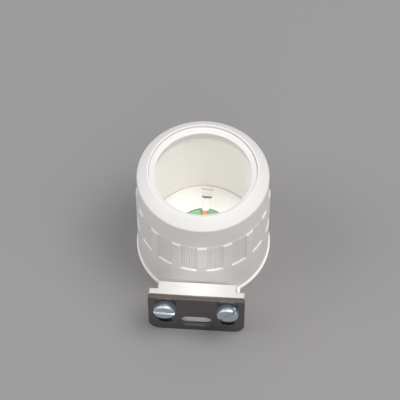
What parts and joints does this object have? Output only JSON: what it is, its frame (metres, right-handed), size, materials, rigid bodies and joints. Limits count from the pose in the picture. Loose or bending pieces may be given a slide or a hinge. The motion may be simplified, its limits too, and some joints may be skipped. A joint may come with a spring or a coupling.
{
  "type": "damp-proof lamp holder",
  "caption": "Damp-proof lampholder for a fluorescent tube: pot with knurled screw cap and lip seal, rotor contacts inside, and a flanged foot with a clamping plate.",
  "frame": {"origin": "centre of the flat underside, on the lamp axis", "axes": "+Z along the lamp axis out of the mouth, -Y towards the foot and its clamping plate, +X to the right when seen from the foot"},
  "size_m": [0.0544, 0.072, 0.0526],
  "materials": {
    "white_cap": "satin white moulded polycarbonate",
    "ivory_pot": "satin ivory moulding",
    "silicone": "soft white silicone",
    "slip": "plain acetal",
    "green_rotor": "pale green moulding",
    "carrier": "grey moulding",
    "bronze": "bright spring bronze",
    "spring_steel": "stainless spring strip",
    "zinc": "zinc plated steel",
    "brass_bush": "turned brass",
    "grommet": "black rubber",
    "black_plate": "black enamelled steel"
  },
  "bodies": {
    "pot": {"housing": "ivory_pot", "lamp_seal": "silicone", "insert_face": "white_cap", "contact_carrier": "carrier", "fixed_contact_right": "bronze", "fixed_contact_left": "bronze", "terminal_clamp_right": "spring_steel", "terminal_clamp_left": "spring_steel", "insert_screw_right": "zinc", "insert_screw_left": "zinc", "cable_grommet": "grommet", "thread_bush_left": "brass_bush", "thread_bush_right": "brass_bush"},
    "slip_ring": {"slip_ring": "slip"},
    "cap": {"screw_cap": "white_cap"},
    "rotor": {"rotor": "green_rotor", "rotor_contact_rear": "bronze", "rotor_contact_front": "bronze"},
    "clamp": {"clamping_plate": "black_plate"},
    "left_screw": {"clamp_screw_left": "zinc"},
    "right_screw": {"clamp_screw_right": "zinc"}
  },
  "joints": [
    {"name": "cap_lift", "type": "slide", "parent": "pot", "child": "slip_ring", "axis": [0, 0, 1], "range_m": [0, 0.006]},
    {"name": "cap_turn", "type": "hinge", "parent": "slip_ring", "child": "cap", "pos_m": [0, 0, 0.03], "axis": [0, 0, 1], "range_deg": [0, 360.01]},
    {"name": "rotor_turn", "type": "hinge", "parent": "pot", "child": "rotor", "pos_m": [0, 0, 0.005], "axis": [0, 0, 1], "range_deg": [0, 90]},
    {"name": "clamp_open", "type": "slide", "parent": "pot", "child": "clamp", "axis": [0, -1, 0], "range_m": [0, 0.0016]},
    {"name": "left_screw_turn", "type": "hinge", "parent": "clamp", "child": "left_screw", "pos_m": [-0.0124, -0.0416, 0.01745], "axis": [0, -1, 0], "range_deg": [0, 720.01]},
    {"name": "right_screw_turn", "type": "hinge", "parent": "clamp", "child": "right_screw", "pos_m": [0.0124, -0.0416, 0.01745], "axis": [0, -1, 0], "range_deg": [0, 720.01]}
  ],
  "couplings": [
    {"joint": "cap_turn", "follows": "cap_lift", "rad_per_m": 1047.2},
    {"joint": "left_screw_turn", "follows": "clamp_open", "rad_per_m": 7854},
    {"joint": "right_screw_turn", "follows": "clamp_open", "rad_per_m": 7854}
  ]
}
